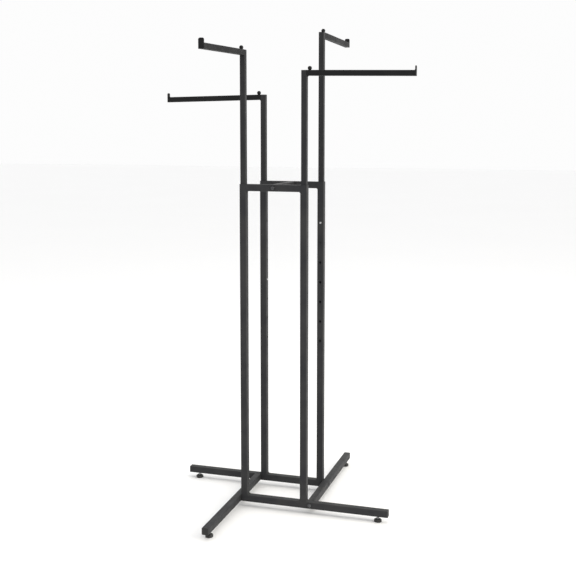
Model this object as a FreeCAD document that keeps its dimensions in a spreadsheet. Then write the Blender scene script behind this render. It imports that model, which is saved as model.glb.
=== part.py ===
"""Four way clothing rack: two welded H-frames, two side bars, four telescoping arms. Millimetres, +Z up.

The origin is on the floor, under the centre of the square of uprights. Front is -Y and right is +X.
Each upright station is the same unit turned by a quarter turn, and the four arms make a pinwheel.
"""
import FreeCAD, Part
import os
import re

import Sketcher
from FreeCAD import Placement, Rotation, Vector

DIMENSIONS = {
    # frame tubes
    "tube_side": 25.0,
    "tube_wall": 1.5,
    "tube_corner": 2.2,
    "upright_spacing": 230.0,
    "frame_top": 1215.0,
    "bar_length": 558.0,
    "bar_underside": 21.0,
    # height holes in the uprights
    "hole_pitch": 76.2,
    "hole_count": 7,
    "hole_dia": 9.0,
    "top_hole_drop": 156.0,
    # posts and arms
    "post_side": 20.0,
    "post_wall": 1.2,
    "post_corner": 1.6,
    "post_rise": 714.0,
    "post_tail": 110.0,
    "arm_reach": 387.0,
    "arm_drop": 6.6,
    "end_plate_thickness": 3.0,
    "end_plate_rise": 15.5,
    "end_plate_corner": 6.0,
    "post_cap_rim": 1.5,
    "post_cap_depth": 9.0,
    # ball-headed stop on top of the arm
    "stop_offset": 19.0,
    "stop_ball_dia": 15.0,
    "stop_neck_dia": 10.5,
    "stop_height": 14.2,
    "stop_tenon_dia": 5.0,
    "stop_tenon_gap": 0.05,
    # snap button and its spring clip
    "button_dia": 8.2,
    "button_proud": 2.5,
    "button_nose": 1.0,
    "button_gap": 0.3,
    "collar_dia": 11.0,
    "collar_length": 1.0,
    "collar_gap": 0.2,
    "clip_width": 10.0,
    "clip_strip": 0.8,
    "clip_drop": 42.0,
    "clip_gap": 2.0,
    "front_leaf_rise": 7.0,
    "back_leaf_rise": 20.0,
    # bolted joints
    "bolt_dia": 7.9,
    "bolt_bore": 8.0,
    "bolt_clearance": 8.6,
    "bolt_head_dia": 14.0,
    "bolt_head_height": 4.2,
    "bolt_head_slope": 3.0,
    "bolt_socket": 5.0,
    "bolt_socket_depth": 2.6,
    "plug_depth": 12.0,
    "plug_gap": 0.1,
    "plug_corner": 1.2,
    # leg ends
    "cap_rim": 3.0,
    "cap_depth": 14.0,
    "cap_wall": 1.8,
    # levelling feet
    "foot_inset": 39.0,
    "foot_dia": 28.0,
    "foot_top_dia": 18.0,
    "foot_skirt": 8.0,
    "foot_height": 12.0,
    "stem_dia": 7.85,
    "stem_bore": 8.0,
    "stem_top": 36.5,
    "stem_head_dia": 12.0,
    "stem_head_height": 2.5,
    "stem_head_level": 3.9,
    "stem_head_gap": 0.3,
    "bush_dia": 11.0,
    "bush_flange_dia": 16.0,
    "bush_flange": 1.5,
    "bush_height": 14.0,
}

doc = FreeCAD.newDocument("four_way_rack")
sub_parts = []


# ---------------------------------------------------------------- sheet and small helpers

def make_sheet():
    """Fills the spreadsheet with the driving dimensions, one alias each."""
    sheet = doc.addObject("Spreadsheet::Sheet", "Dims")
    for row, (alias, value) in enumerate(DIMENSIONS.items(), start=1):
        sheet.set(f"A{row}", alias)
        sheet.set(f"B{row}", str(value))
        sheet.setAlias(f"B{row}", alias)
    doc.recompute()
    return sheet


def bound(text):
    """Turns an expression in bare aliases into one that reads the sheet."""
    def through_sheet(match):
        word = match.group()
        return "Dims." + word if word in DIMENSIONS else word
    return re.sub(r"[a-z][a-z_]+", through_sheet, text)


def drive(obj, **expressions):
    """Binds properties to expressions; a double underscore stands for the dot in a property's path."""
    for path, text in expressions.items():
        obj.setExpression(path.replace("__", "."), bound(text))


def put(obj, base, turn=0.0, axis=Vector(0, 0, 1)):
    """Turns an object by degrees about an axis and binds its place to three expressions."""
    obj.Placement = Placement(Vector(), Rotation(axis, turn))
    drive(obj, Placement__Base__x=base[0], Placement__Base__y=base[1], Placement__Base__z=base[2])
    return obj


def finish(obj, label):
    """Names a finished sub-part after its node."""
    obj.Label = label
    sub_parts.append(obj)
    return obj


# ---------------------------------------------------------------- PartDesign helpers

def new_body(label):
    return finish(doc.addObject("PartDesign::Body", "Body_" + label), label)


def origin_feature(body, role):
    return next(f for f in body.Origin.OriginFeatures if f.Role == role)


def new_sketch(body, plane, lift="0"):
    """A sketch on one of the body's origin planes, lifted along the plane's normal."""
    sketch = body.newObject("Sketcher::SketchObject", "Sketch")
    sketch.AttachmentSupport = [(origin_feature(body, plane), "")]
    sketch.MapMode = "FlatFace"
    drive(sketch, AttachmentOffset__Base__z=lift)
    return sketch


def constrain(sketch, *args, size=None):
    """Adds a constraint and binds it to an expression where it has a size."""
    index = sketch.addConstraint(Sketcher.Constraint(*args))
    if size:
        sketch.setExpression(f"Constraints[{index}]", bound(size))


def add_square(sketch, side):
    """A square centred on the sketch's origin."""
    first = sketch.GeometryCount
    corners = [Vector(-5, -5, 0), Vector(5, -5, 0), Vector(5, 5, 0), Vector(-5, 5, 0)]
    for i in range(4):
        sketch.addGeometry(Part.LineSegment(corners[i], corners[(i + 1) % 4]), False)
    for i in range(4):
        constrain(sketch, "Coincident", first + i, 2, first + (i + 1) % 4, 1)
    for i in (0, 2):
        constrain(sketch, "Horizontal", first + i)
        constrain(sketch, "Vertical", first + i + 1)
    constrain(sketch, "Symmetric", first, 1, first + 1, 2, -1, 1)
    constrain(sketch, "DistanceX", first, 1, first, 2, 10.0, size=side)
    constrain(sketch, "DistanceY", first + 1, 1, first + 1, 2, 10.0, size=side)


def add_circle(sketch, along, across, dia):
    """A circle at a place given by two expressions, each a distance from the sketch's origin."""
    index = sketch.addGeometry(Part.Circle(Vector(20, 20, 0), Vector(0, 0, 1), 2), False)
    constrain(sketch, "Diameter", index, 4.0, size=dia)
    for kind, place in (("DistanceX", along), ("DistanceY", across)):
        if place == "0":
            constrain(sketch, "PointOnObject", index, 3, -2 if kind == "DistanceX" else -1)
        else:
            constrain(sketch, kind, -1, 1, index, 3, 20.0, size=place)


def pad(body, sketch, length):
    feature = body.newObject("PartDesign::Pad", "Pad")
    feature.Profile = sketch
    drive(feature, Length=length)
    doc.recompute()
    return feature


def pocket(body, sketch, both_sides=False, reverse=False):
    """Cuts a sketch through all and checks that it removed something."""
    before = body.Shape.Volume
    feature = body.newObject("PartDesign::Pocket", "Pocket")
    feature.Profile = sketch
    feature.Type = "ThroughAll"
    feature.SideType = "Symmetric" if both_sides else "One side"
    feature.Reversed = reverse
    doc.recompute()
    if body.Shape.Volume > before - 1:
        raise RuntimeError(f"a pocket in {body.Label} cuts nothing")
    return feature


def round_edges(body, feature, radius, chosen):
    """Fillets the edges of the last feature that the test picks."""
    names = [f"Edge{i}" for i, edge in enumerate(feature.Shape.Edges, start=1) if chosen(edge)]
    fillet = body.newObject("PartDesign::Fillet", "Fillet")
    fillet.Base = (feature, names)
    drive(fillet, Radius=radius)
    doc.recompute()
    return fillet


def value(alias):
    return float(DIMENSIONS[alias])


def make_tube(body, side, wall, corner, plane, length, lift="0", lean=None):
    """A square tube with round corners, padded from a ring on an origin plane."""
    ring = new_sketch(body, plane, lift)
    add_square(ring, side)
    add_square(ring, f"{side} - 2 * {wall}")
    tube = pad(body, ring, length)
    if lean:
        tube.UseCustomVector = True
        tube.AlongSketchNormal = True
        tube.Direction = Vector(1, 0, 0)
        drive(tube, Direction__x=length, Direction__z=f"-({lean})")
        doc.recompute()
    half_outer = value(side) / 2 - 0.01
    across = [Vector(1, 0, 0), Vector(0, 1, 0)] if plane == "XY_Plane" else [Vector(0, 1, 0)]

    def outer(edge):
        middle = edge.CenterOfMass
        return edge.Length > 100 and all(abs(middle.dot(d)) > half_outer for d in across)

    def inner(edge):
        middle = edge.CenterOfMass
        return edge.Length > 100 and all(abs(middle.dot(d)) < half_outer for d in across)

    rounded = round_edges(body, tube, corner, outer)
    return round_edges(body, rounded, f"{corner} - {wall} + 0.1", inner)


# ---------------------------------------------------------------- Part helpers

def primitive(kind, **expressions):
    obj = doc.addObject("Part::" + kind, kind)
    drive(obj, **expressions)
    return obj


def combine(kind, shapes):
    """A multi-fuse or a cut of the first shape by the second."""
    obj = doc.addObject("Part::" + kind, kind)
    if kind == "Cut":
        obj.Base, obj.Tool = shapes
    else:
        obj.Shapes = shapes
    return obj


def rod(dia, length, start="0"):
    """A cylinder along +Z from a start level."""
    return primitive("Cylinder", Radius=f"({dia}) / 2", Height=length, Placement__Base__z=start)


def block(size, corner):
    """A box with its low corner at three expressions."""
    return primitive(
        "Box", Length=size[0], Width=size[1], Height=size[2],
        Placement__Base__x=corner[0], Placement__Base__y=corner[1], Placement__Base__z=corner[2],
    )


def copies(source, label, places):
    """One node of identical pieces: a compound of links to one source, each at its own place."""
    pieces = []
    for base, turn, axis in places:
        piece = doc.addObject("Part::Feature", "Piece")
        piece.Shape = source.Shape
        pieces.append(put(piece, base, turn, axis))
    group = doc.addObject("Part::Compound", "Group_" + label)
    group.Links = pieces
    return finish(group, label)


# ---------------------------------------------------------------- stations and corners

BAR_LEVEL = "bar_underside + tube_side / 2"
RAIL_LEVEL = "frame_top - tube_side / 2"
HALF = "upright_spacing / 2"
INSIDE = "upright_spacing / 2 - tube_side / 2"
OUTSIDE = "upright_spacing / 2 + tube_side / 2"
SIDE_BAR = "upright_spacing / 2 + tube_side"
SIDE_FACE = "upright_spacing / 2 + 3 * tube_side / 2"

# station: sign of x, sign of y, quarter turns of its arm from +X, height holes below the top one
STATIONS = {
    "front_right": (1, -1, 0, 2),
    "back_right": (1, 1, 1, 0),
    "back_left": (-1, 1, 2, 3),
    "front_left": (-1, -1, 3, 1),
}


def signed(sign, text):
    return f"{sign} * ({text})"


def station_place(station, level):
    """Base expressions and turn of something on a station's centre line."""
    x_sign, y_sign, quarter, _ = STATIONS[station]
    return (signed(x_sign, HALF), signed(y_sign, HALF), level), 90.0 * quarter


# leg: place of the bar's plug end, the bar's turn from +X, distance of the crossing bolt from the plug end
LEGS = {
    "front": ((signed(-1, OUTSIDE), signed(-1, HALF), BAR_LEVEL), 0, "upright_spacing + 3 * tube_side / 2"),
    "right": ((SIDE_BAR, signed(-1, INSIDE), BAR_LEVEL), 90, "upright_spacing - tube_side / 2"),
    "back": ((OUTSIDE, HALF, BAR_LEVEL), 180, "upright_spacing + 3 * tube_side / 2"),
    "left": ((signed(-1, SIDE_BAR), INSIDE, BAR_LEVEL), 270, "upright_spacing - tube_side / 2"),
}


def leg_point(leg, along, level):
    """A place on a bar, a distance from its plug end, as base expressions."""
    (x, y, _), turn, _ = LEGS[leg]
    step_x, step_y = {0: (1, 0), 90: (0, 1), 180: (-1, 0), 270: (0, -1)}[turn]
    return f"{x} + {step_x} * ({along})", f"{y} + {step_y} * ({along})", level


FOOT_ALONG = "bar_length + cap_rim - foot_inset"


# ---------------------------------------------------------------- welded frame

def base_bar(leg):
    """A bar along its own +X: open plug end at 0, capped leg end at bar_length."""
    place, turn, bolt_along = LEGS[leg]
    body = new_body(f"{leg}_base_bar")
    make_tube(body, "tube_side", "tube_wall", "tube_corner", "YZ_Plane", "bar_length")
    crossing = new_sketch(body, "XZ_Plane")
    add_circle(crossing, bolt_along, "0", "bolt_clearance")
    pocket(body, crossing, both_sides=True)
    underside = new_sketch(body, "XY_Plane")
    add_circle(underside, FOOT_ALONG, "0", "bush_dia")
    pocket(body, underside)
    put(body, place, turn)


def upright(station):
    """A lower tube with its height holes in the face turned away from the arm."""
    body = new_body(f"{station}_upright")
    foot = "bar_underside + tube_side"
    make_tube(body, "tube_side", "tube_wall", "tube_corner", "XY_Plane", f"frame_top - ({foot})")
    hole = new_sketch(body, "YZ_Plane")
    add_circle(hole, "0", f"frame_top - top_hole_drop - ({foot})", "hole_dia")
    top_hole = pocket(body, hole)
    row = body.newObject("PartDesign::LinearPattern", "HeightHoles")
    row.Originals = [top_hole]
    row.Direction = (origin_feature(body, "Z_Axis"), [""])
    row.Mode = "Spacing"
    row.Reversed = True
    drive(row, Offset="hole_pitch", Occurrences="hole_count")
    body.Tip = row
    doc.recompute()
    base, turn = station_place(station, foot)
    put(body, base, turn)


def top_rail(side, y_sign):
    """A rail between two uprights, drilled for the cross bar's bolt."""
    body = new_body(f"{side}_top_rail")
    make_tube(body, "tube_side", "tube_wall", "tube_corner", "YZ_Plane", "upright_spacing - tube_side")
    hole = new_sketch(body, "XZ_Plane")
    add_circle(hole, INSIDE, "0", "bolt_clearance")
    pocket(body, hole, both_sides=True)
    put(body, (signed(-1, INSIDE), signed(y_sign, HALF), RAIL_LEVEL))


def cross_bar():
    body = new_body("centre_cross_bar")
    make_tube(body, "tube_side", "tube_wall", "tube_corner", "YZ_Plane", "upright_spacing - tube_side")
    put(body, ("0", signed(-1, INSIDE), RAIL_LEVEL), 90)


# ---------------------------------------------------------------- bolts and threaded plugs

def bolt_source():
    """A button-head bolt along +Z with its head's underside at 0 and a hexagon socket."""
    shank = rod("bolt_dia", "tube_side + plug_depth - 1")
    head = primitive(
        "Cone", Radius1="bolt_head_dia / 2", Radius2="bolt_head_dia / 2 - bolt_head_slope",
        Height="bolt_head_height",
    )
    head.Placement = Placement(Vector(), Rotation(Vector(1, 0, 0), 180))
    socket = primitive("Prism", Circumradius="bolt_socket / sqrt(3)", Height="bolt_socket_depth")
    drive(socket, Placement__Base__z="-bolt_head_height")
    bolt = combine("Cut", [combine("MultiFuse", [shank, head]), socket])
    doc.recompute()
    return bolt


def plug_source():
    """A square plug along +Z from a tube's end, threaded through its middle."""
    side = "tube_side - 2 * tube_wall - 2 * plug_gap"
    block_body = block((side, side, "plug_depth"), (f"-({side}) / 2", f"-({side}) / 2", "0"))
    doc.recompute()
    rounded = doc.addObject("Part::Fillet", "Fillet")
    rounded.Base = block_body
    edges = enumerate(block_body.Shape.Edges, start=1)
    upright_edges = [i for i, edge in edges if abs(edge.tangentAt(0).z) > 0.9]
    rounded.Edges = [(i, value("plug_corner"), value("plug_corner")) for i in upright_edges]
    plug = combine("Cut", [rounded, rod("bolt_bore", "plug_depth")])
    doc.recompute()
    return plug


TURN_X = Vector(0, 1, 0)
TURN_Y = Vector(1, 0, 0)

# places of the base's crossing bolts: head's underside, and the turn that points the shank inwards
BASE_BOLTS = [
    ((SIDE_BAR, signed(-1, OUTSIDE), BAR_LEVEL), -90, TURN_Y),
    ((SIDE_FACE, HALF, BAR_LEVEL), -90, TURN_X),
    ((signed(-1, SIDE_BAR), OUTSIDE, BAR_LEVEL), 90, TURN_Y),
    ((signed(-1, SIDE_FACE), signed(-1, HALF), BAR_LEVEL), 90, TURN_X),
]
# places of the plugs in the bars' ends, and the turn that points each away from the bolt's head
BASE_PLUGS = [
    ((SIDE_BAR, signed(-1, INSIDE), BAR_LEVEL), -90, TURN_Y),
    ((OUTSIDE, HALF, BAR_LEVEL), -90, TURN_X),
    ((signed(-1, SIDE_BAR), INSIDE, BAR_LEVEL), 90, TURN_Y),
    ((signed(-1, OUTSIDE), signed(-1, HALF), BAR_LEVEL), 90, TURN_X),
]
# the same for the two bolts through the top rails and the plugs in the cross bar's ends
TOP_BOLTS = [
    (("0", signed(-1, OUTSIDE), RAIL_LEVEL), -90, TURN_Y),
    (("0", OUTSIDE, RAIL_LEVEL), 90, TURN_Y),
]
TOP_PLUGS = [
    (("0", signed(-1, INSIDE), RAIL_LEVEL), -90, TURN_Y),
    (("0", INSIDE, RAIL_LEVEL), 90, TURN_Y),
]


# ---------------------------------------------------------------- leg ends and feet

def leg_cap(leg):
    """A plastic cap along the bar's +X: a rim over the tube's end and a hollow spigot inside it."""
    _, turn, _ = LEGS[leg]
    body = new_body(f"{leg}_leg_cap")
    face = new_sketch(body, "YZ_Plane")
    add_square(face, "tube_side")
    rim = pad(body, face, "cap_rim")
    rounded = round_edges(body, rim, "tube_corner", lambda e: abs(e.tangentAt(0).x) > 0.9)
    soft = round_edges(body, rounded, "cap_rim / 3", lambda e: e.CenterOfMass.x > value("cap_rim") - 0.01)
    spigot = new_sketch(body, "YZ_Plane")
    side = "tube_side - 2 * tube_wall - 2 * plug_gap"
    add_square(spigot, side)
    add_square(spigot, f"{side} - 2 * cap_wall")
    wall = body.newObject("PartDesign::Pad", "Spigot")
    wall.Profile = spigot
    wall.Reversed = True
    drive(wall, Length="cap_depth")
    doc.recompute()
    half_spigot = value("tube_side") / 2 - value("tube_wall") - value("plug_gap") - 0.01
    round_edges(
        body, wall, "tube_corner - tube_wall + 0.5",
        lambda e: e.CenterOfMass.x < -1 and abs(e.tangentAt(0).x) > 0.9
        and min(abs(e.CenterOfMass.y), abs(e.CenterOfMass.z)) > half_spigot,
    )
    put(body, leg_point(leg, "bar_length", BAR_LEVEL), turn)


def bush_source():
    """A threaded bush up through the bar's bottom wall, with a flange on the wall's inner face."""
    sleeve = rod("bush_dia", "bush_height")
    flange = rod("bush_flange_dia", "bush_flange", start="tube_wall")
    bush = combine("Cut", [combine("MultiFuse", [sleeve, flange]), rod("stem_bore", "bush_height")])
    doc.recompute()
    return bush


def foot_base(leg):
    """The foot's plastic base: a skirt and a cone, hollowed for the stem and its head."""
    skirt = rod("foot_dia", "foot_skirt")
    cone = primitive(
        "Cone", Radius1="foot_dia / 2", Radius2="foot_top_dia / 2",
        Height="foot_height - foot_skirt", Placement__Base__z="foot_skirt",
    )
    socket = rod(
        "stem_head_dia + 2 * stem_head_gap", "stem_head_height + 2 * stem_head_gap",
        start="stem_head_level - stem_head_gap",
    )
    neck = rod("stem_bore", "foot_height", start="stem_head_level")
    hollow = combine("MultiFuse", [socket, neck])
    base = finish(combine("Cut", [combine("MultiFuse", [skirt, cone]), hollow]), f"{leg}_foot_base")
    put(base, leg_point(leg, FOOT_ALONG, "0"))


def foot_stem(leg):
    """The foot's threaded stem with the flat head that turns inside the base."""
    head = rod("stem_head_dia", "stem_head_height", start="stem_head_level")
    shank = rod("stem_dia", "stem_top - stem_head_level", start="stem_head_level")
    stem = finish(combine("MultiFuse", [head, shank]), f"{leg}_foot_stem")
    put(stem, leg_point(leg, FOOT_ALONG, "0"))


# ---------------------------------------------------------------- telescoping posts and arms

def button_level(station):
    """Level of the height hole that a station's snap button sits in."""
    holes_down = STATIONS[station][3]
    return f"frame_top - top_hole_drop - {holes_down} * hole_pitch"


def place_on_station(obj, station):
    base, turn = station_place(station, button_level(station))
    return put(obj, base, turn)


def post(station):
    """The inner post, from its tail below the button to the cap's underside. The button's axis is at 0."""
    body = new_body(f"{station}_post")
    make_tube(
        body, "post_side", "post_wall", "post_corner", "XY_Plane",
        "post_tail + post_rise - post_cap_rim", lift="-post_tail",
    )
    hole = new_sketch(body, "YZ_Plane")
    add_circle(hole, "0", "0", "button_dia + 2 * button_gap")
    pocket(body, hole)
    place_on_station(body, station)


def post_cap(station):
    """A plug in the post's open top, its rim level with the arm's top."""
    spigot_side = "post_side - 2 * post_wall - 2 * plug_gap"
    body = new_body(f"{station}_post_cap")
    face = new_sketch(body, "XY_Plane", "post_rise - post_cap_rim")
    add_square(face, "post_side")
    rim = pad(body, face, "post_cap_rim")
    round_edges(body, rim, "post_corner", lambda e: abs(e.tangentAt(0).z) > 0.9)
    spigot = new_sketch(body, "XY_Plane", "post_rise - post_cap_rim")
    add_square(spigot, spigot_side)
    plug = body.newObject("PartDesign::Pad", "Spigot")
    plug.Profile = spigot
    plug.Reversed = True
    drive(plug, Length="post_cap_depth")
    doc.recompute()
    half_spigot = value("post_side") / 2 - value("post_wall") - value("plug_gap") - 0.01
    round_edges(
        body, plug, "post_corner - post_wall + 0.4",
        lambda e: e.Length > 5 and abs(e.tangentAt(0).z) > 0.9
        and abs(e.CenterOfMass.x) < half_spigot + 0.1,
    )
    place_on_station(body, station)


def arm_tube(station):
    """The arm, from the post's side to the end plate, falling a little towards its tip."""
    body = new_body(f"{station}_arm_tube")
    length = "arm_reach - end_plate_thickness"
    lean = "arm_drop * (arm_reach - end_plate_thickness) / arm_reach"
    make_tube(body, "post_side", "post_wall", "post_corner", "YZ_Plane", length, lean=lean)
    tenon_hole = new_sketch(body, "XY_Plane")
    add_circle(tenon_hole, "stop_offset - post_side / 2", "0", "stop_tenon_dia")
    pocket(body, tenon_hole, reverse=True)
    x_sign, y_sign, quarter, _ = STATIONS[station]
    step_x, step_y = [(1, 0), (0, 1), (-1, 0), (0, -1)][quarter]
    base = (
        f"{signed(x_sign, HALF)} + {step_x} * post_side / 2",
        f"{signed(y_sign, HALF)} + {step_y} * post_side / 2",
        f"{button_level(station)} + post_rise - post_side / 2",
    )
    put(body, base, 90.0 * quarter)


def end_plate(station):
    """The upright plate that closes the arm's tip, with two rounded corners above the arm."""
    face_x = "post_side / 2 + arm_reach - end_plate_thickness"
    foot_z = "post_rise - arm_drop - post_side"
    shapes = [
        block(
            ("end_plate_thickness", "post_side", "post_side + end_plate_rise - end_plate_corner"),
            (face_x, "-post_side / 2", foot_z),
        ),
        block(
            ("end_plate_thickness", "post_side - 2 * end_plate_corner", "post_side + end_plate_rise"),
            (face_x, "end_plate_corner - post_side / 2", foot_z),
        ),
    ]
    for side in (-1, 1):
        corner = primitive("Cylinder", Radius="end_plate_corner", Height="end_plate_thickness")
        corner.Placement = Placement(Vector(), Rotation(Vector(0, 1, 0), 90))
        drive(
            corner,
            Placement__Base__x=face_x,
            Placement__Base__y=f"{side} * (post_side / 2 - end_plate_corner)",
            Placement__Base__z="post_rise - arm_drop + end_plate_rise - end_plate_corner",
        )
        shapes.append(corner)
    plate = finish(combine("MultiFuse", shapes), f"{station}_end_plate")
    plate.Refine = True
    place_on_station(plate, station)


def stop_stud(station):
    """The ball-headed stop on the arm beside the post, with a tenon through the arm's top wall."""
    deck = "post_rise - arm_drop * (stop_offset - stop_neck_dia / 2 - post_side / 2) / arm_reach"
    tenon = rod("stop_tenon_dia - 2 * stop_tenon_gap", "post_wall", start="-post_wall")
    neck = rod("stop_neck_dia", "stop_height - stop_ball_dia / 2")
    ball = primitive(
        "Sphere", Radius="stop_ball_dia / 2", Placement__Base__z="stop_height - stop_ball_dia / 2",
    )
    stud = combine("MultiFuse", [tenon, neck, ball])
    drive(stud, Placement__Base__x="stop_offset", Placement__Base__z=deck)
    doc.recompute()
    placed = doc.addObject("Part::Compound", "Stud")
    placed.Links = [stud]
    finish(placed, f"{station}_stop_stud")
    place_on_station(placed, station)


def lying_rod(dia, length, start):
    """A cylinder along +X from a start expression."""
    obj = primitive("Cylinder", Radius=f"({dia}) / 2", Height=length)
    obj.Placement = Placement(Vector(), Rotation(Vector(0, 1, 0), 90))
    drive(obj, Placement__Base__x=start)
    return obj


# distance of the clip's front leaf from the post's axis
LEAF_FACE = "post_side / 2 - post_wall - collar_gap - collar_length"


def snap_button(station):
    """The button, its collar inside the post and the clip's leaf behind it. It points along -X."""
    tip = "-(tube_side / 2 + button_proud)"
    nose = primitive(
        "Cone", Radius1="button_dia / 2 - button_nose", Radius2="button_dia / 2", Height="button_nose",
    )
    nose.Placement = Placement(Vector(), Rotation(Vector(0, 1, 0), 90))
    drive(nose, Placement__Base__x=tip)
    shank = lying_rod(
        "button_dia", f"tube_side / 2 + button_proud - button_nose - ({LEAF_FACE})", f"{tip} + button_nose",
    )
    collar = lying_rod("collar_dia", "collar_length", f"-({LEAF_FACE}) - collar_length")
    leaf = block(
        ("clip_strip", "clip_width", "clip_drop - clip_gap + front_leaf_rise"),
        (f"-({LEAF_FACE})", "-clip_width / 2", "clip_gap - clip_drop"),
    )
    button = finish(combine("MultiFuse", [nose, shank, collar, leaf]), f"{station}_snap_button")
    place_on_station(button, station)


def snap_spring(station):
    """The clip's other leaf, flat on the post's back wall, and the bend under the two leaves."""
    back = "post_side / 2 - post_wall"
    leaf = block(
        ("clip_strip", "clip_width", "clip_drop + back_leaf_rise"),
        (f"{back} - clip_strip", "-clip_width / 2", "-clip_drop"),
    )
    span = f"({back} + {LEAF_FACE})"
    outer = primitive("Cylinder", Radius=f"{span} / 2", Height="clip_width")
    hollow = primitive("Cylinder", Radius=f"{span} / 2 - clip_strip", Height="clip_width")
    above = block((span, "clip_width", span), (f"-({span}) / 2", "-clip_width", "0"))
    for round_piece in (outer, hollow):
        round_piece.Placement = Placement(Vector(), Rotation(Vector(1, 0, 0), 90))
    ring = combine("Cut", [combine("Cut", [outer, hollow]), above])
    drive(ring, Placement__Base__x=f"({back} - ({LEAF_FACE})) / 2", Placement__Base__y="clip_width / 2")
    drive(ring, Placement__Base__z="-clip_drop")
    spring = finish(combine("MultiFuse", [leaf, ring]), f"{station}_snap_spring")
    place_on_station(spring, station)


# ---------------------------------------------------------------- build

make_sheet()
for name in LEGS:
    base_bar(name)
for name in STATIONS:
    upright(name)
top_rail("front", -1)
top_rail("back", 1)
cross_bar()

bolt = bolt_source()
plug = plug_source()
bush = bush_source()
copies(bolt, "base_joint_bolts", BASE_BOLTS)
copies(bolt, "top_joint_bolts", TOP_BOLTS)
copies(plug, "base_joint_plugs", BASE_PLUGS)
copies(plug, "top_joint_plugs", TOP_PLUGS)
bush_places = [(leg_point(name, FOOT_ALONG, "bar_underside"), 0, Vector(0, 0, 1)) for name in LEGS]
copies(bush, "foot_bushes", bush_places)

for name in LEGS:
    leg_cap(name)
    foot_base(name)
    foot_stem(name)
for name in STATIONS:
    for build in (post, post_cap, arm_tube, end_plate, stop_stud, snap_button, snap_spring):
        build(name)
doc.recompute()


# ---------------------------------------------------------------- checks and files

for obj in doc.Objects:
    if "Invalid" in obj.State or "Error" in obj.State:
        raise RuntimeError(f"{obj.Label} failed: {obj.State}")
for obj in sub_parts:
    if obj.Shape.isNull() or not obj.Shape.isValid() or not obj.Shape.Solids:
        raise RuntimeError(f"{obj.Label} has no valid solid")

os.makedirs("parts", exist_ok=True)
for obj in sub_parts:
    obj.Shape.exportStep(f"parts/{obj.Label}.step")
    box = obj.Shape.BoundBox
    print(f"{obj.Label:26s} solids {len(obj.Shape.Solids)} volume {obj.Shape.Volume:10.1f}"
          f"  x {box.XMin:8.2f} {box.XMax:8.2f}  y {box.YMin:8.2f} {box.YMax:8.2f}"
          f"  z {box.ZMin:8.2f} {box.ZMax:8.2f}")
print(len(sub_parts), "sub-parts")
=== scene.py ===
"""Looks for the four way clothing rack: painted tubes, welds, bolts, caps, stops and feet.

Metres, +Z up, front towards -Y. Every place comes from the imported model's own nodes.
"""
import math

import bmesh
import bpy
from mathutils import Matrix, Vector


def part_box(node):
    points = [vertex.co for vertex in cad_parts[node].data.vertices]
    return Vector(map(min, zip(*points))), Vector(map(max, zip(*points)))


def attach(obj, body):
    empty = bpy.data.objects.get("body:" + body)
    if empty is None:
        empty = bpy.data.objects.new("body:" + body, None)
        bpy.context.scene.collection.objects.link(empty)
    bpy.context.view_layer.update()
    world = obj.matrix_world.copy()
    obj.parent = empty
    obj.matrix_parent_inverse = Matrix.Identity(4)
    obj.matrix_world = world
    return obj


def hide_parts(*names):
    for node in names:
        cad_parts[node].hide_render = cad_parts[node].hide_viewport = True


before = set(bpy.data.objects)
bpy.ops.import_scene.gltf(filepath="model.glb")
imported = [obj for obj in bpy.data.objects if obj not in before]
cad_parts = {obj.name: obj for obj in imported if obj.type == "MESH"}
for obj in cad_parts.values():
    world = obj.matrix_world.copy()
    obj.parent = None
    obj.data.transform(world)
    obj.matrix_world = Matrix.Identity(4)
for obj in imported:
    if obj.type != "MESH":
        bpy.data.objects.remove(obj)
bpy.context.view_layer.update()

# station: quarter turns of its arm from +X
STATIONS = {"front_right": 0, "back_right": 1, "back_left": 2, "front_left": 3}
# leg: quarter turns of its bar from +X
LEGS = {"front": 0, "right": 1, "back": 2, "left": 3}
SIDES = ("front", "back")

X, Y, Z = Vector((1, 0, 0)), Vector((0, 1, 0)), Vector((0, 0, 1))
MM = 0.001


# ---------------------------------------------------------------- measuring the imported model

def middle(node):
    low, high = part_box(node)
    return (low + high) / 2


def turned(direction, quarters):
    return Matrix.Rotation(math.radians(90 * quarters), 3, "Z") @ direction


def far_face(node, direction):
    """How far a node reaches along a horizontal or vertical direction of one axis."""
    low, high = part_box(node)
    corner = Vector([high[i] if direction[i] > 0 else low[i] for i in range(3)])
    return corner.dot(direction)


def seat(origin, across, out):
    """A place on the model: local +X points across, local +Z out, and local +Y completes them."""
    along = out.cross(across)
    turn = Matrix((across, along, out)).transposed().to_4x4()
    return Matrix.Translation(origin) @ turn


# ---------------------------------------------------------------- materials

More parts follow.
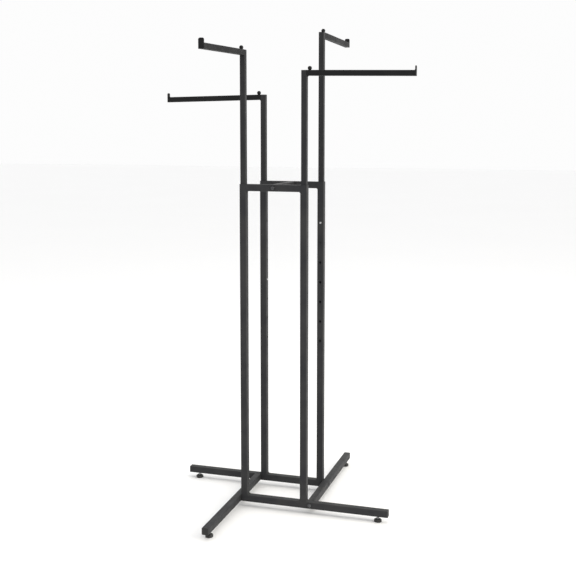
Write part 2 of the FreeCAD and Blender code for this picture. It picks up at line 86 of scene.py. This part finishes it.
class Surface:
    """A material with one Principled shader, and short calls for the nodes that feed it."""

    def __init__(self, name):
        self.material = bpy.data.materials.new(name)
        self.material.use_nodes = True
        self.tree = self.material.node_tree
        self.shader = next(n for n in self.tree.nodes if n.type == "BSDF_PRINCIPLED")
        self.place = self.tree.nodes.new("ShaderNodeTexCoord").outputs["Object"]

    def link(self, source, target):
        if isinstance(source, bpy.types.NodeSocket):
            self.tree.links.new(source, target)
        else:
            target.default_value = source

    def noise(self, scale, detail=2.0, rough=0.5, stretch=None):
        node = self.tree.nodes.new("ShaderNodeTexNoise")
        node.inputs["Scale"].default_value = scale
        node.inputs["Detail"].default_value = detail
        node.inputs["Roughness"].default_value = rough
        place = self.place
        if stretch:
            mapping = self.tree.nodes.new("ShaderNodeMapping")
            mapping.inputs["Scale"].default_value = stretch
            self.link(place, mapping.inputs["Vector"])
            place = mapping.outputs["Vector"]
        self.link(place, node.inputs["Vector"])
        return node.outputs["Fac"]

    def rings(self, scale, distortion):
        """Fine turned rings, one above another along Z."""
        node = self.tree.nodes.new("ShaderNodeTexWave")
        node.bands_direction = "Z"
        node.inputs["Scale"].default_value = scale
        node.inputs["Distortion"].default_value = distortion
        self.link(self.place, node.inputs["Vector"])
        return node.outputs["Fac"]

    def span(self, value, low, high, to_low=0.0, to_high=1.0):
        """Maps low..high to another range, smoothly and clamped."""
        node = self.tree.nodes.new("ShaderNodeMapRange")
        node.interpolation_type = "SMOOTHSTEP"
        self.link(value, node.inputs["Value"])
        limits = {"From Min": low, "From Max": high, "To Min": to_low, "To Max": to_high}
        for name, number in limits.items():
            node.inputs[name].default_value = number
        return node.outputs["Result"]

    def math(self, operation, first, second=0.0):
        node = self.tree.nodes.new("ShaderNodeMath")
        node.operation = operation
        self.link(first, node.inputs[0])
        self.link(second, node.inputs[1])
        return node.outputs[0]

    def mix(self, share, first, second):
        """Mixes two colours."""
        node = self.tree.nodes.new("ShaderNodeMixRGB")
        self.link(share, node.inputs["Fac"])
        self.link(first, node.inputs["Color1"])
        self.link(second, node.inputs["Color2"])
        return node.outputs["Color"]

    def facing(self):
        """The surface's own direction: its X, Y and Z shares."""
        geometry = self.tree.nodes.new("ShaderNodeNewGeometry")
        parts = self.tree.nodes.new("ShaderNodeSeparateXYZ")
        self.link(geometry.outputs["Normal"], parts.inputs[0])
        return parts.outputs

    def corners(self):
        """1 on a rounded corner between two flat faces, 0 on the faces themselves."""
        shares = [self.math("ABSOLUTE", share) for share in self.facing()]
        largest = self.math("MAXIMUM", self.math("MAXIMUM", shares[0], shares[1]), shares[2])
        return self.span(largest, 0.985, 0.85)

    def bump(self, *layers):
        """Stacks bump layers, each a height, a depth in metres and a strength."""
        normal = None
        for height, depth, strength in layers:
            node = self.tree.nodes.new("ShaderNodeBump")
            node.inputs["Distance"].default_value = depth
            node.inputs["Strength"].default_value = strength
            self.link(height, node.inputs["Height"])
            if normal:
                self.link(normal, node.inputs["Normal"])
            normal = node.outputs["Normal"]
        self.link(normal, self.shader.inputs["Normal"])

    def set(self, **inputs):
        """Sets the shader's inputs, from numbers, colours or node outputs."""
        for name, source in inputs.items():
            self.link(source, self.shader.inputs[name.replace("_", " ")])
        return self.material


def grey(level, warmth=0.0):
    """A near-neutral colour, warmer for a positive warmth."""
    return (level * (1 + warmth), level * (1 + warmth * 0.6), level * (1 - warmth), 1.0)


def powder_coat(name, tone, rubbed=0.0):
    """Satin powder coat: mottled charcoal, fine orange peel, corners lighter from a thin coat and a
    painted highlight, and dust on top faces.

    rubbed is how far sliding in another tube has polished streaks into it.
    """
    s = Surface(name)
    clouds = s.span(s.noise(11, 5, 0.6), 0.34, 0.68)
    speckle = s.span(s.noise(1500, 2), 0.45, 0.75)
    colour = s.mix(clouds, grey(tone * 0.84, -0.07), grey(tone * 1.16, -0.02))
    colour = s.mix(s.math("MULTIPLY", speckle, 0.4), colour, grey(tone * 1.9, 0.02))
    # corners lighter: partly real wear where the coat is thin, partly a painted highlight along the
    # edges
    edge_wear_and_highlight = s.math("MULTIPLY", s.corners(), s.span(s.noise(17, 2, 0.5), 0.38, 0.68, 0.15, 0.45))
    colour = s.mix(edge_wear_and_highlight, colour, grey(tone * 2.2, 0.01))
    upward = s.span(s.facing()["Z"], 0.8, 0.98)
    dust = s.math("MULTIPLY", upward, s.span(s.noise(35, 6, 0.7), 0.35, 0.7, 0.02, 0.2))
    colour = s.mix(dust, colour, grey(0.09, 0.05))
    roughness = s.span(s.noise(26, 5, 0.6), 0.3, 0.7, 0.46, 0.62)
    roughness = s.math("SUBTRACT", roughness, s.math("MULTIPLY", edge_wear_and_highlight, 0.16))
    if rubbed:
        streaks = s.span(s.noise(9, 3, 0.6, stretch=(45, 45, 0.12)), 0.5, 0.75)
        streaks = s.math("MULTIPLY", streaks, rubbed)
        colour = s.mix(streaks, colour, grey(tone * 2.2, 0.0))
        roughness = s.math("SUBTRACT", roughness, s.math("MULTIPLY", streaks, 0.2))
    s.bump((s.noise(300, 2), 0.00006, 0.4), (s.noise(1300, 2), 0.00003, 0.4))
    return s.set(Base_Color=colour, Roughness=roughness, IOR=1.45, Specular_IOR_Level=0.16)


def moulded_plastic(name, tone):
    """Moulded black plastic: a fine spark texture, faint flow marks, and edges polished by handling and
    made lighter by a painted highlight.
    """
    s = Surface(name)
    flow = s.span(s.noise(70, 4, 0.6, stretch=(1, 1, 0.35)), 0.35, 0.7)
    colour = s.mix(flow, grey(tone * 0.8), grey(tone * 1.4, 0.03))
    # edges lighter: real handling wear in the roughness, and a painted highlight in the colour
    edge_wear_and_highlight = s.math("MULTIPLY", s.corners(), 0.3)
    colour = s.mix(edge_wear_and_highlight, colour, grey(tone * 3.5))
    upward = s.span(s.facing()["Z"], 0.4, 0.95)
    dust = s.math("MULTIPLY", upward, s.span(s.noise(180, 4), 0.4, 0.7, 0.0, 0.2))
    colour = s.mix(dust, colour, grey(0.14, 0.06))
    roughness = s.span(s.noise(240, 4), 0.3, 0.7, 0.42, 0.6)
    roughness = s.math("SUBTRACT", roughness, s.math("MULTIPLY", edge_wear_and_highlight, 0.3))
    s.bump((s.noise(1800, 2), 0.00004, 0.5), (flow, 0.00005, 0.25))
    return s.set(Base_Color=colour, Roughness=roughness, IOR=1.47, Specular_IOR_Level=0.45)


def plated_steel(name, bright, dull, smooth, rough, ring_scale):
    """Plated steel: turned rings, a cloudy plate and darker stains."""
    s = Surface(name)
    stains = s.span(s.noise(160, 5, 0.65), 0.4, 0.68)
    colour = s.mix(stains, bright, dull)
    rings = s.rings(ring_scale, 1.6)
    roughness = s.span(s.noise(420, 4), 0.3, 0.7, smooth, rough)
    s.bump((rings, 0.00004, 0.3), (s.noise(900, 3), 0.00002, 0.4))
    return s.set(Base_Color=colour, Roughness=roughness, Metallic=1.0)


FRAME_PAINT = powder_coat("powder_coat_frame", 0.030)
# the arms and posts use the frame's charcoal in darker tones, as painted shade for the top of the rack,
# where less light comes up from the floor; the posts also get real rubbed streaks
SHADED_ARM_PAINT = powder_coat("powder_coat_arms_painted_shade", 0.010)
SHADED_POST_PAINT = powder_coat("powder_coat_posts_painted_shade", 0.024, rubbed=0.25)
PLASTIC = moulded_plastic("moulded_black_plastic", 0.012)
ZINC = plated_steel("bright_zinc_plate", grey(0.56, -0.02), grey(0.36), 0.2, 0.36, 260)
BLACK_STEEL = plated_steel("black_zinc_plate", grey(0.12, -0.03), grey(0.055, -0.03), 0.24, 0.4, 180)


# ---------------------------------------------------------------- mesh helpers

def to_piece(name, bm, place, material, body, node=None, split=35):
    """Turns a bmesh into a piece of the object that rides on a CAD body."""
    bmesh.ops.remove_doubles(bm, verts=bm.verts, dist=1e-7)
    bmesh.ops.recalc_face_normals(bm, faces=bm.faces)
    bm.transform(place)
    for face in bm.faces:
        face.smooth = True
    for edge in bm.edges:
        edge.smooth = len(edge.link_faces) == 2 and edge.calc_face_angle(0.0) < math.radians(split)
    mesh = bpy.data.meshes.new(name)
    bm.to_mesh(mesh)
    bm.free()
    mesh.materials.append(material)
    piece = bpy.data.objects.new(name, mesh)
    bpy.context.scene.collection.objects.link(piece)
    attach(piece, body)
    if node:
        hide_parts(node)
    return piece


def skin(bm, rings):
    """Joins rings of points with the same count into a skin, and closes both ends."""
    rows = [[bm.verts.new(point) for point in ring] for ring in rings]
    count = len(rows[0])
    for row, following in zip(rows, rows[1:]):
        for i in range(count):
            j = (i + 1) % count
            bm.faces.new((row[i], row[j], following[j], following[i]))
    bm.faces.new(rows[0][::-1])
    bm.faces.new(rows[-1])


def circle(radius, z, count=48):
    turns = [2 * math.pi * i / count for i in range(count)]
    return [Vector((radius * math.cos(t), radius * math.sin(t), z)) for t in turns]


def lathe(bm, profile, count=48):
    """Turns a profile of (radius, height) pairs in millimetres about Z."""
    skin(bm, [circle(radius * MM, height * MM, count) for radius, height in profile])


def arc(centre, radius, start, end, steps):
    """Profile points on an arc, from a start angle to an end angle in degrees above the horizontal."""
    angles = [math.radians(start + (end - start) * i / steps) for i in range(steps + 1)]
    return [(centre[0] + radius * math.cos(a), centre[1] + radius * math.sin(a)) for a in angles]


def rounded_square(side, corner, z):
    """A ring of points round a square with round corners, sizes in millimetres."""
    steps = 6
    inner = side / 2 - corner
    points = []
    for quarter in range(4):
        x_sign = 1 if quarter in (0, 3) else -1
        y_sign = 1 if quarter in (0, 1) else -1
        for i in range(steps + 1):
            t = math.radians(90 * (quarter + i / steps))
            x = x_sign * inner + corner * math.cos(t)
            y = y_sign * inner + corner * math.sin(t)
            points.append(Vector((x, y, z)) * MM)
    return points


def square_skin(bm, outline):
    """A skin over rounded squares, each given as (side, corner radius, height) in millimetres."""
    skin(bm, [rounded_square(side, corner, z) for side, corner, z in outline])


# ---------------------------------------------------------------- welds

# how much of a tube's face a bead or a seam covers
FRAME_WELD_SHARE = 0.88
ARM_WELD_SHARE = 0.86


def fillet_weld(bm, place, width, leg):
    """A rippled bead in an inside corner, along local Y, from the face z = 0 to the face x = 0."""
    root, step_length, taper_length = -0.4 * MM, 0.45 * MM, 2.2 * MM
    steps, arc_steps = round(width / step_length), 8
    rows = []
    for i in range(steps + 1):
        y = -width / 2 + width * i / steps
        from_end = (width / 2 - abs(y)) / taper_length
        taper = math.sqrt(max(0.02, 1 - (1 - min(from_end, 1)) ** 2))
        ripple = 1 + 0.07 * math.sin(y / MM * 4.1) + 0.04 * math.sin(y / MM * 1.7 + 1)
        size = leg * taper * ripple
        section = [Vector((root, y, root)), Vector((size, y, root))]
        for k in range(arc_steps + 1):
            t = math.radians(90 * k / arc_steps)
            lag = 0.5 * MM * math.sin(2 * t) * taper
            section.append(Vector((size * math.cos(t) ** 1.5, y + lag, size * math.sin(t) ** 1.5)))
        section.append(Vector((root, y, size)))
        rows.append([place @ point for point in section])
    skin(bm, rows)


def flush_weld(bm, place, width, breadth=5.0 * MM, height=0.28 * MM):
    """A butt weld dressed almost flush: a low ridge on the face z = 0, along local Y."""
    step_length, sunk_edge, root = 0.6 * MM, 0.05 * MM, -0.3 * MM
    steps, cross_steps = round(width / step_length), 8
    rows = []
    for i in range(steps + 1):
        y = -width / 2 + width * i / steps
        taper = math.sqrt(max(0.02, 1 - (abs(y) / (width / 2)) ** 6))
        wander = 0.25 * MM * math.sin(y / MM * 0.9)
        section = []
        for k in range(cross_steps + 1):
            u = -1 + 2 * k / cross_steps
            lump = 1 + 0.18 * math.sin(y / MM * 2.3 + u)
            rise = height * taper * lump * (1 - u * u) - sunk_edge
            section.append(Vector((u * breadth / 2 + wander, y, rise)))
        section += [Vector((breadth / 2, y, root)), Vector((-breadth / 2, y, root))]
        rows.append([place @ point for point in section])
    skin(bm, rows)


def weld_piece(name, bm, material, body):
    to_piece(name, bm, Matrix.Identity(4), material, body, split=60)


def upright_welds(station):
    """Beads where an upright stands on its bar, and dressed seams on the two flush faces."""
    side = station.split("_")[0]
    bar_low, bar_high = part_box(f"{side}_base_bar")
    low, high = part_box(f"{station}_upright")
    centre = (low + high) / 2
    width = (high.y - low.y) * FRAME_WELD_SHARE
    room = 5 * MM
    bm = bmesh.new()
    for face, out in ((high.x, X), (low.x, -X)):
        if bar_low.x < face - room and face + room < bar_high.x:
            fillet_weld(bm, seat(Vector((face, centre.y, low.z)), out, Z), width, leg=4.2 * MM)
    for face, out in ((high.y, Y), (low.y, -Y)):
        flush_weld(bm, seat(Vector((centre.x, face, low.z)), Z, out), width)
    weld_piece(f"{station}_upright_weld", bm, FRAME_PAINT, "frame")


def rail_welds(side):
    """Beads under a top rail's two ends, and dressed seams on its flush faces."""
    low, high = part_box(f"{side}_top_rail")
    centre = (low + high) / 2
    width = (high.y - low.y) * FRAME_WELD_SHARE
    bm = bmesh.new()
    for end, inward in ((low.x, X), (high.x, -X)):
        fillet_weld(bm, seat(Vector((end, centre.y, low.z)), inward, -Z), width, leg=4.0 * MM)
        flush_weld(bm, seat(Vector((end, centre.y, high.z)), X, Z), width)
        for face, out in ((high.y, Y), (low.y, -Y)):
            flush_weld(bm, seat(Vector((end, face, centre.z)), X, out), width)
    weld_piece(f"{side}_rail_weld", bm, FRAME_PAINT, "frame")


def arm_welds(station):
    """Beads under an arm's root and behind its end plate, and dressed seams on the flush faces."""
    out = turned(X, STATIONS[station])
    across = turned(Y, STATIONS[station])
    post_low, post_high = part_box(f"{station}_post")
    cap_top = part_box(f"{station}_post_cap")[1].z
    plate_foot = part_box(f"{station}_end_plate")[0].z
    centre = middle(f"{station}_post")
    side = post_high.x - post_low.x
    width = side * ARM_WELD_SHARE
    root = centre + out * (side / 2)
    root.z = cap_top - side
    bm = bmesh.new()
    fillet_weld(bm, seat(root, out, -Z), width, leg=3.4 * MM)
    for direction in (across, -across):
        face = root + (direction + Z) * (side / 2)
        flush_weld(bm, seat(face, out, direction), width, breadth=4 * MM, height=0.24 * MM)
    flush_weld(bm, seat(root + Z * side, out, Z), width, breadth=4 * MM, height=0.2 * MM)
    tip = centre + out * (far_face(f"{station}_arm_tube", out) - centre.dot(out))
    tip.z = plate_foot + side
    fillet_weld(bm, seat(tip, -out, Z), width, leg=2.6 * MM)
    weld_piece(f"{station}_arm_weld", bm, SHADED_ARM_PAINT, f"{station}_arm")


# ---------------------------------------------------------------- bolts

def hexagon(across_flats, z, count=48):
    """Points round a hexagon, spaced by angle, so that they line up with a circle's."""
    points = []
    for i in range(count):
        t = 2 * math.pi * i / count
        from_flat = (t + math.pi / 6) % (math.pi / 3) - math.pi / 6
        radius = across_flats / 2 / math.cos(from_flat)
        points.append(Vector((radius * math.cos(t), radius * math.sin(t), z)) * MM)
    return points


def add_bolt(bm, place):
    """A button-head bolt with a hexagon socket: local +Z out of the head, its underside at 0."""
    grip, thread_length, half_pitch = 24.0, 35.0, 0.625
    root, crest_rise, shank, head = 3.35, 0.6, 3.95, 7.0
    turns = int((thread_length - grip) / half_pitch)
    thread = [(root + crest_rise * (i % 2), half_pitch * i - thread_length) for i in range(turns)]
    profile = [(3.2, -thread_length - 1), *thread, (shank, 1 - grip), (shank, -0.4), (4.3, 0)]
    profile += [(head - 0.2, 0), (head, 0.25)]
    shares = [i / 8 for i in range(9)]
    profile += [(head - 3.4 * t ** 1.9, 0.55 + 3.65 * math.sin(math.radians(90 * t))) for t in shares]
    rings = [circle(r * MM, z * MM) for r, z in profile]
    rings += [hexagon(5.4, 4.2), hexagon(5.0, 3.9), hexagon(5.0, 1.8), hexagon(4.4, 1.6)]
    rings.append(circle(0.3 * MM, 1.1 * MM))
    skin(bm, [[place @ point for point in ring] for ring in rings])


def bolt_piece(name, bm, node):
    to_piece(name, bm, Matrix.Identity(4), BLACK_STEEL, "frame", node)


def base_bolts():
    """A bolt through each corner of the base: through one bar, into the plug in the next one's end."""
    bm = bmesh.new()
    bars = ("front_base_bar", "right_base_bar", "back_base_bar", "left_base_bar")
    for i, out in enumerate((-Y, X, Y, -X)):
        crossed, ending = bars[i], bars[(i + 1) % 4]
        along = Vector((abs(out.y), abs(out.x), 0))
        origin = out * far_face(crossed, out) + along * middle(ending).dot(along)
        origin.z = middle(crossed).z
        add_bolt(bm, seat(origin, along, out))
    bolt_piece("base_bolts", bm, "base_joint_bolts")


def top_bolts():
    """The two bolts through the top rails into the cross bar's ends."""
    bm = bmesh.new()
    for side, out in (("front", -Y), ("back", Y)):
        origin = middle("centre_cross_bar")
        origin.y = out.y * far_face(f"{side}_top_rail", out)
        add_bolt(bm, seat(origin, X, out))
    bolt_piece("top_bolts", bm, "top_joint_bolts")


# ---------------------------------------------------------------- caps, feet and stops

def leg_cap(leg):
    """A moulded cap: a domed rim over the tube's end and a thin-walled spigot inside it."""
    out = turned(X, LEGS[leg])
    centre = middle(f"{leg}_base_bar")
    origin = centre + out * (far_face(f"{leg}_base_bar", out) - centre.dot(out))
    bm = bmesh.new()
    square_skin(bm, [
        (18.2, 0.6, 0.2), (18.2, 0.6, -14), (20.6, 0.9, -14), (21.7, 1.2, -12.5), (21.7, 1.2, -0.6),
        (22.0, 1.2, 0), (24.6, 2.1, 0), (24.9, 2.2, 0.2), (24.9, 2.2, 1.7), (24.5, 2.3, 2.2),
        (23.6, 2.4, 2.55), (21.5, 2.6, 2.7), (20.9, 2.6, 2.6), (20.2, 2.6, 2.72), (14, 2.6, 2.92),
        (6, 2.4, 3.0),
    ])
    name, node, place = f"{leg}_moulded_cap", f"{leg}_leg_cap", seat(origin, Z, out)
    to_piece(name, bm, place, PLASTIC, "frame", node)


def post_cap(station):
    """The plug in a post's open top, with a low domed rim."""
    body, node = f"{station}_arm", f"{station}_post_cap"
    origin = middle(f"{station}_post")
    origin.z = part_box(f"{station}_post")[1].z
    rim = (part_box(f"{station}_post_cap")[1].z - origin.z) / MM
    depth = (origin.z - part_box(f"{station}_post_cap")[0].z) / MM
    bm = bmesh.new()
    square_skin(bm, [
        (16.4, 0.6, -depth), (17.3, 0.9, 1 - depth), (17.3, 0.9, 0), (19.8, 1.5, 0), (19.95, 1.6, 0.15),
        (19.95, 1.6, rim - 0.7), (19.5, 1.7, rim - 0.3), (18.4, 1.8, rim - 0.1), (12, 2, rim),
    ])
    place = Matrix.Translation(origin)
    to_piece(f"{station}_moulded_cap", bm, place, PLASTIC, body, node)


def foot_base(leg):
    """A moulded foot: a soft lower edge, a ribbed skirt and a shoulder up to the stem's collar."""
    body, node = f"{leg}_foot", f"{leg}_foot_base"
    origin = middle(node)
    origin.z = 0.0
    count, rib_spacing, flute_depth = 96, 4, 0.28
    # radius and height in millimetres, and whether the ring is ribbed
    outline = [
        (10.8, 0.0, 0), (12.9, 0.0, 0), (13.6, 0.35, 0), (13.9, 1.0, 0), (13.95, 1.6, 1),
        (13.95, 6.8, 1), (13.8, 7.6, 1), (13.4, 8.3, 0), (12.4, 9.1, 0), (11.0, 10.0, 0),
        (9.8, 10.8, 0), (9.2, 11.4, 0), (8.7, 11.8, 0), (8.0, 12.0, 0), (4.7, 12.0, 0),
        (4.25, 11.7, 0), (4.1, 11.0, 0), (4.1, 6.8, 0), (6.3, 6.6, 0), (6.3, 3.7, 0), (3.0, 3.6, 0),
    ]
    rings = []
    for radius, height, ribbed in outline:
        ring = circle(1.0, height * MM, count)
        for i, point in enumerate(ring):
            flute = flute_depth * ribbed if i % rib_spacing == 0 else 0.0
            reach = (radius - flute) * MM
            point.x, point.y = point.x * reach, point.y * reach
        rings.append(ring)
    bm = bmesh.new()
    skin(bm, rings)
    place = Matrix.Translation(origin)
    to_piece(f"{leg}_moulded_foot", bm, place, PLASTIC, body, node)


def foot_stem(leg):
    """The foot's stem: a real helical thread, 1.25 mm pitch, above a flat swivel head."""
    body, node = f"{leg}_stem", f"{leg}_foot_stem"
    low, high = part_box(f"{leg}_foot_stem")
    origin = middle(node)
    origin.z = low.z
    height = (high.z - low.z) / MM
    crest, thread_depth, thread_start, plain_end = 7.85 / 2, 0.62, 4.0, 1.2
    pitch, count, per_turn = 1.25, 32, 8
    head = ((5.4, 0.0), (6.0, 0.4), (6.0, 2.1), (5.6, 2.5), (3.7, 2.6), (3.3, 3.2))
    rings = [circle(radius * MM, level * MM, count) for radius, level in head]
    steps = int((height - thread_start - plain_end) / pitch * per_turn)
    for k in range(steps + 1):
        z = thread_start + k * pitch / per_turn
        fade = min(1.0, (steps - k) / per_turn, k / per_turn)
        ring = []
        for i in range(count):
            t = 2 * math.pi * i / count
            phase = (z / pitch - i / count) % 1.0
            depth = thread_depth * max(0.0, 1 - abs(phase - 0.5) * 2.4)
            radius = crest - thread_depth * (1 - fade) - depth * fade
            ring.append(Vector((radius * math.cos(t), radius * math.sin(t), z)) * MM)
        rings.append(ring)
    rings += [circle(2.9 * MM, (height - 0.1) * MM, count), circle(2.4 * MM, height * MM, count)]
    bm = bmesh.new()
    skin(bm, rings)
    place = Matrix.Translation(origin)
    to_piece(f"{leg}_threaded_stem", bm, place, ZINC, body, node, split=70)


def stop_stud(station):
    """The ball-headed stop, with the weld that spreads at its foot."""
    body, node = f"{station}_arm", f"{station}_stop_stud"
    low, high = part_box(f"{station}_stop_stud")
    origin = middle(node)
    origin.z = low.z
    height = (high.z - low.z) / MM
    tenon, tenon_radius, ball, neck = 1.2, 2.45, 7.5, 5.25
    centre = height - ball
    waist = centre - math.sqrt(ball ** 2 - neck ** 2)
    shares = (0, 0.15, 0.3, 0.5, 0.75, 1)
    weld = [(neck + 1.3 * (1 - t) ** 2.2, tenon - 0.15 + t) for t in shares]
    start = -math.degrees(math.acos(neck / ball))
    profile = [(tenon_radius, 0), (tenon_radius, tenon - 0.3), *weld, (neck, waist - 0.25)]
    profile += arc((0, centre), ball, start + 3, 88, 18)
    bm = bmesh.new()
    lathe(bm, profile, 40)
    place = Matrix.Translation(origin)
    to_piece(f"{station}_ball_stop", bm, place, SHADED_ARM_PAINT, body, node)


def end_plate(station):
    """The arm's end plate: two rounded upper corners and softened edges."""
    body, node = f"{station}_arm", f"{station}_end_plate"
    out = turned(X, STATIONS[station])
    low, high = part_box(f"{station}_end_plate")
    thickness = abs((high - low).dot(out)) / MM
    width = (high - low).dot(Vector((abs(out.y), abs(out.x), 0))) / MM
    height = (high.z - low.z) / MM
    corner, soft = 6.0, 0.55

    def outline(inset, level):
        """The plate's outline from its lower right corner, drawn in by an inset, at a depth."""
        half = width / 2 - inset
        shoulder = height - corner
        climbs = [inset + (shoulder - inset) * t for t in (0.0, 0.3, 0.65)]
        right = [(half, climb) for climb in climbs]
        right += arc((width / 2 - corner, shoulder), corner - inset, 0, 90, 10)
        left = [(-x, climb) for x, climb in reversed(right)]
        return [Vector((x, climb, level)) * MM for x, climb in right + left]

    levels = [(soft, 0.0), (soft * 0.3, soft * 0.3), (0.0, soft), (0.0, thickness - soft)]
    levels += [(soft * 0.3, thickness - soft * 0.3), (soft, thickness)]
    bm = bmesh.new()
    skin(bm, [outline(inset, level) for inset, level in levels])
    inner = middle(node) - out * (thickness * MM / 2)
    inner.z = low.z
    place = seat(inner, Z.cross(out), out)
    to_piece(f"{station}_bevelled_plate", bm, place, SHADED_ARM_PAINT, body, node)


def snap_button(station):
    """The domed button, its collar inside the post and the spring clip's front leaf."""
    body, node = f"{station}_button", f"{station}_snap_button"
    out = -turned(X, STATIONS[station])
    low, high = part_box(f"{station}_snap_button")
    radius, dome_rise = 4.1, 2.2
    leaf_rise, leaf_back, leaf_thickness, leaf_half, leaf_steps = 7.0, 8.2, 0.8, 5.0, 24
    leaf_length = (high.z - low.z) / MM
    origin = middle(node)
    origin += out * (far_face(node, out) - origin.dot(out))
    origin.z = high.z - leaf_rise * MM
    turns = [math.radians(a) for a in range(0, 88, 8)]
    dome = [(radius * math.cos(t) ** 0.8, dome_rise * math.sin(t) - dome_rise) for t in turns]
    foot = leaf_thickness / 2 - leaf_back
    bm = bmesh.new()
    lathe(bm, [(radius, foot), (radius, -2.6), *dome, (0.35, 0.0)], 40)
    lathe(bm, [(3.6, -7.5), (5.2, -7.5), (5.5, -7.2), (5.5, -6.6), (5.2, -6.4), (3.6, -6.4)], 40)
    leaf = []
    for i in range(leaf_steps + 1):
        t = i / leaf_steps
        level = leaf_rise - leaf_length * t
        bow = 0.12 * math.sin(math.pi * t)
        half = leaf_half * (1 - 0.12 * max(0.0, 1 - t * 12))
        near, far = leaf_thickness - leaf_back - bow, -leaf_back
        corners = ((half, near), (-half, near), (-half, far), (half, far))
        leaf.append([Vector((x, level, depth)) * MM for x, depth in corners])
    skin(bm, leaf)
    place = seat(origin, Z.cross(out), out)
    to_piece(f"{station}_domed_button", bm, place, ZINC, body, node)


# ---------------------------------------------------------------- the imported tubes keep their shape

def paint_nodes(material, names):
    for name in names:
        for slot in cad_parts[name].material_slots:
            slot.material = material


FRAME_TUBES = [f"{leg}_base_bar" for leg in LEGS] + [f"{side}_top_rail" for side in SIDES]
FRAME_TUBES += ["centre_cross_bar"] + [f"{station}_upright" for station in STATIONS]
paint_nodes(FRAME_PAINT, FRAME_TUBES)
# the posts and arms get the darker copies of the frame's paint: painted shade
paint_nodes(SHADED_POST_PAINT, [f"{station}_post" for station in STATIONS])
paint_nodes(SHADED_ARM_PAINT, [f"{station}_arm_tube" for station in STATIONS])
paint_nodes(ZINC, ["base_joint_plugs", "top_joint_plugs", "foot_bushes"])
paint_nodes(ZINC, [f"{station}_snap_spring" for station in STATIONS])

for station in STATIONS:
    upright_welds(station)
    arm_welds(station)
    post_cap(station)
    stop_stud(station)
    end_plate(station)
    snap_button(station)
for side in SIDES:
    rail_welds(side)
for leg in LEGS:
    leg_cap(leg)
    foot_base(leg)
    foot_stem(leg)
base_bolts()
top_bolts()


# ---------------------------------------------------------------- floor, light and camera

def pale_floor():
    """A large pale floor with a faint unevenness."""
    bm = bmesh.new()
    bmesh.ops.create_grid(bm, x_segments=8, y_segments=8, size=30)
    mesh = bpy.data.meshes.new("floor")
    bm.to_mesh(mesh)
    bm.free()
    s = Surface("pale_floor")
    colour = s.mix(s.noise(0.6, 3), (0.96, 0.96, 0.96, 1), (0.98, 0.98, 0.98, 1))
    mesh.materials.append(s.set(Base_Color=colour, Roughness=0.75, Specular_IOR_Level=0.2))
    floor = bpy.data.objects.new("floor", mesh)
    bpy.context.scene.collection.objects.link(floor)


def aim(name, data, place, gaze):
    """Adds a lamp or a camera to the scene, looking along a direction."""
    holder = bpy.data.objects.new(name, data)
    holder.location = place
    holder.rotation_mode = "QUATERNION"
    holder.rotation_quaternion = gaze.to_track_quat("-Z", "Y")
    bpy.context.scene.collection.objects.link(holder)
    return holder


def soft_light(name, place, target, size, power, colour):
    lamp = bpy.data.lights.new(name, "AREA")
    lamp.color = colour
    lamp.shape = "DISK"
    lamp.size = size
    lamp.energy = power
    aim(name, lamp, place, Vector(target) - Vector(place))


def studio():
    world = bpy.data.worlds.new("studio")
    world.use_nodes = True
    background = next(n for n in world.node_tree.nodes if n.type == "BACKGROUND")
    background.inputs["Color"].default_value = (1.0, 1.0, 1.0, 1)
    background.inputs["Strength"].default_value = 0.98
    bpy.context.scene.world = world
    centre = (0, 0, 0.8)
    soft_light("key_right", (4.4, -0.6, 2.6), centre, 3.4, 120, (1.0, 0.95, 0.82))
    soft_light("overhead", (0.4, 0.6, 4.6), centre, 3.0, 40, (1.0, 0.98, 0.95))
    bpy.context.scene.view_settings.view_transform = "Standard"


CAMERA_PLACE = Vector((1.0912, -3.4606, 1.4203))
CAMERA_YAW = math.radians(17.23)
CAMERA_PITCH = math.radians(-6.37)
FOCAL_LENGTH = 61.0
VERTICAL_SHIFT = -0.09


def camera():
    """A camera in front and to the right, a little above the middle, turned left and slightly down."""
    data = bpy.data.cameras.new("camera")
    data.sensor_width = 36.0
    data.lens = FOCAL_LENGTH
    data.shift_y = VERTICAL_SHIFT
    data.clip_start, data.clip_end = 0.05, 100.0
    level = math.cos(CAMERA_PITCH)
    ahead = (-math.sin(CAMERA_YAW) * level, math.cos(CAMERA_YAW) * level, math.sin(CAMERA_PITCH))
    bpy.context.scene.camera = aim("camera", data, CAMERA_PLACE, Vector(ahead))


pale_floor()
studio()
camera()
